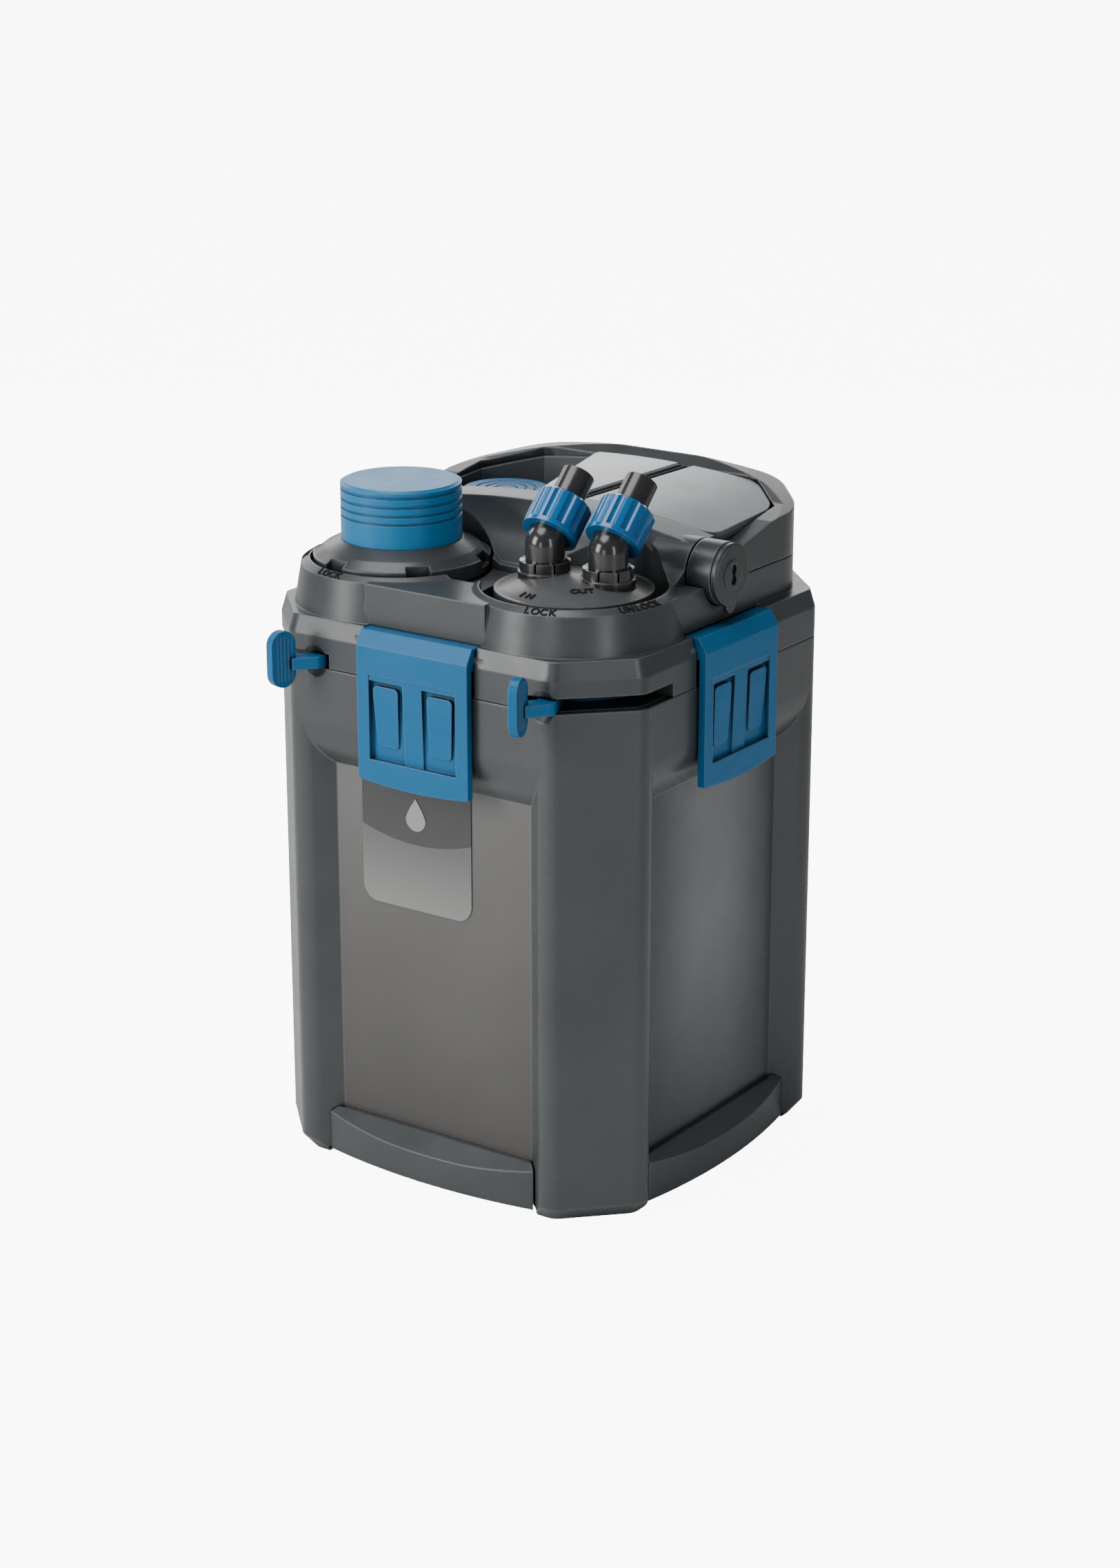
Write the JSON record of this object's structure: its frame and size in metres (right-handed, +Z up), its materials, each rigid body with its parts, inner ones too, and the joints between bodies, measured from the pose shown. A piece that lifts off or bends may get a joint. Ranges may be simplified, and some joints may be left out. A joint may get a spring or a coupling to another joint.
{
  "type": "external canister pump water filter",
  "caption": "Square canister water filter with a clamped pump head, folding carry handle, lift-out prefilter, lever-locked hose unit with swivel elbows, and a priming button.",
  "frame": {"origin": "centre of the square canister's plan, on the flat underside that stands on the floor", "axes": "+Z up; -Y is the face with the badge and the two well rims; +X is towards the hose unit"},
  "size_m": [0.234, 0.253, 0.3687],
  "materials": {
    "container": "satin, slightly translucent",
    "base_plinth": "satin",
    "front_badge": "printed film",
    "media_tray_lower": "satin",
    "media_tray_middle": "satin",
    "media_tray_upper": "satin",
    "coarse_foam": "open cell foam",
    "ceramic_rings": "porous",
    "fine_foam": "fibre pad",
    "tray_cover": "satin",
    "head_housing": "satin",
    "head_base_plate": "satin",
    "head_seal": "matt",
    "motor_block": "potted",
    "motor_cover": "satin",
    "impeller_cover": "satin",
    "rotor_shaft": "ground",
    "cable_gland": "matt",
    "base_screws": "bright",
    "latch_pins": "bright",
    "handle_pivot_left": "satin",
    "handle_pivot_right": "satin",
    "prime_bellows": "matt",
    "rotor_magnet": "moulded over magnet",
    "impeller": "satin",
    "carry_handle": "satin",
    "latch_front": "satin",
    "latch_right": "satin",
    "latch_rear": "satin",
    "latch_left": "satin",
    "hose_lock_ring": "satin",
    "hose_lock_pad": "satin",
    "prefilter_lock_ring": "satin",
    "prefilter_lock_pad": "satin",
    "prefilter_knob": "satin",
    "prefilter_lid": "gloss",
    "prefilter_seal": "matt",
    "prefilter_cage": "satin",
    "prefilter_foam": "open cell foam",
    "hose_cap": "gloss",
    "hose_valve_body": "gloss",
    "hose_unit_seal": "matt",
    "snap_collar_in": "gloss",
    "snap_collar_out": "gloss",
    "elbow_in": "gloss, matt tail",
    "elbow_out": "gloss, matt tail",
    "union_nut_in": "gloss",
    "union_nut_out": "gloss",
    "prime_button": "satin"
  },
  "bodies": {
    "canister": {"container": "container", "base_plinth": "base_plinth", "front_badge": "front_badge", "media_tray_lower": "media_tray_lower", "media_tray_middle": "media_tray_middle", "media_tray_upper": "media_tray_upper", "coarse_foam": "coarse_foam", "ceramic_rings": "ceramic_rings", "fine_foam": "fine_foam", "tray_cover": "tray_cover"},
    "head": {"head_housing": "head_housing", "head_base_plate": "head_base_plate", "head_seal": "head_seal", "motor_block": "motor_block", "motor_cover": "motor_cover", "impeller_cover": "impeller_cover", "rotor_shaft": "rotor_shaft", "cable_gland": "cable_gland", "base_screws": "base_screws", "latch_pins": "latch_pins", "handle_pivot_left": "handle_pivot_left", "handle_pivot_right": "handle_pivot_right", "prime_bellows": "prime_bellows"},
    "rotor": {"rotor_magnet": "rotor_magnet", "impeller": "impeller"},
    "handle": {"carry_handle": "carry_handle"},
    "latch_front": {"latch_front": "latch_front"},
    "latch_right": {"latch_right": "latch_right"},
    "latch_rear": {"latch_rear": "latch_rear"},
    "latch_left": {"latch_left": "latch_left"},
    "hose_lever": {"hose_lock_ring": "hose_lock_ring", "hose_lock_pad": "hose_lock_pad"},
    "prefilter_lever": {"prefilter_lock_ring": "prefilter_lock_ring", "prefilter_lock_pad": "prefilter_lock_pad"},
    "prefilter": {"prefilter_knob": "prefilter_knob", "prefilter_lid": "prefilter_lid", "prefilter_seal": "prefilter_seal", "prefilter_cage": "prefilter_cage", "prefilter_foam": "prefilter_foam"},
    "hose_unit": {"hose_cap": "hose_cap", "hose_valve_body": "hose_valve_body", "hose_unit_seal": "hose_unit_seal", "snap_collar_in": "snap_collar_in", "snap_collar_out": "snap_collar_out"},
    "elbow_in": {"elbow_in": "elbow_in"},
    "elbow_out": {"elbow_out": "elbow_out"},
    "nut_in": {"union_nut_in": "union_nut_in"},
    "nut_out": {"union_nut_out": "union_nut_out"},
    "prime_button": {"prime_button": "prime_button"}
  },
  "joints": [
    {"name": "head_lift", "type": "slide", "parent": "canister", "child": "head", "axis": [0, 0, 1], "range_m": [0, 0.26]},
    {"name": "handle_fold", "type": "hinge", "parent": "head", "child": "handle", "pos_m": [0, 0, 0.317], "axis": [-1, 0, 0], "range_deg": [-90, 0]},
    {"name": "latch_front_swing", "type": "hinge", "parent": "head", "child": "latch_front", "pos_m": [0, -0.109, 0.286], "axis": [-1, 0, 0], "range_deg": [0, 95]},
    {"name": "latch_right_swing", "type": "hinge", "parent": "head", "child": "latch_right", "pos_m": [0.109, 0, 0.286], "axis": [0, -1, 0], "range_deg": [0, 95]},
    {"name": "latch_rear_swing", "type": "hinge", "parent": "head", "child": "latch_rear", "pos_m": [0, 0.109, 0.286], "axis": [1, 0, 0], "range_deg": [0, 95]},
    {"name": "latch_left_swing", "type": "hinge", "parent": "head", "child": "latch_left", "pos_m": [-0.109, 0, 0.286], "axis": [0, 1, 0], "range_deg": [0, 95]},
    {"name": "hose_lever_turn", "type": "hinge", "parent": "head", "child": "hose_lever", "pos_m": [0.053, -0.054, 0.271], "axis": [0, 0, 1], "range_deg": [0, 55]},
    {"name": "prefilter_lever_turn", "type": "hinge", "parent": "head", "child": "prefilter_lever", "pos_m": [-0.053, -0.054, 0.271], "axis": [0, 0, -1], "range_deg": [0, 55]},
    {"name": "prefilter_lift", "type": "slide", "parent": "head", "child": "prefilter", "axis": [0, 0, 1], "range_m": [0, 0.305]},
    {"name": "hose_unit_lift", "type": "slide", "parent": "head", "child": "hose_unit", "axis": [0, 0, 1], "range_m": [0, 0.05]},
    {"name": "elbow_in_swivel", "type": "hinge", "parent": "hose_unit", "child": "elbow_in", "pos_m": [0.037, -0.056, 0.334], "axis": [0, 0, 1], "range_deg": [-5, 90]},
    {"name": "elbow_out_swivel", "type": "hinge", "parent": "hose_unit", "child": "elbow_out", "pos_m": [0.071, -0.051, 0.334], "axis": [0, 0, 1], "range_deg": [-90, 5]},
    {"name": "nut_in_turn", "type": "hinge", "parent": "elbow_in", "child": "nut_in", "pos_m": [0.037, -0.056, 0.334], "axis": [0, 0.7071, 0.7071], "continuous": true},
    {"name": "nut_out_turn", "type": "hinge", "parent": "elbow_out", "child": "nut_out", "pos_m": [0.071, -0.051, 0.334], "axis": [0, 0.7071, 0.7071], "continuous": true},
    {"name": "prime_press", "type": "slide", "parent": "head", "child": "prime_button", "axis": [0, 0, -1], "range_m": [0, 0.012], "stiffness_N_per_m": 600, "springref_m": -0.004, "deforming": ["prime_bellows"]},
    {"name": "rotor_spin", "type": "hinge", "parent": "head", "child": "rotor", "pos_m": [0.015, 0.05, 0.28], "axis": [0, 0, 1], "continuous": true}
  ]
}
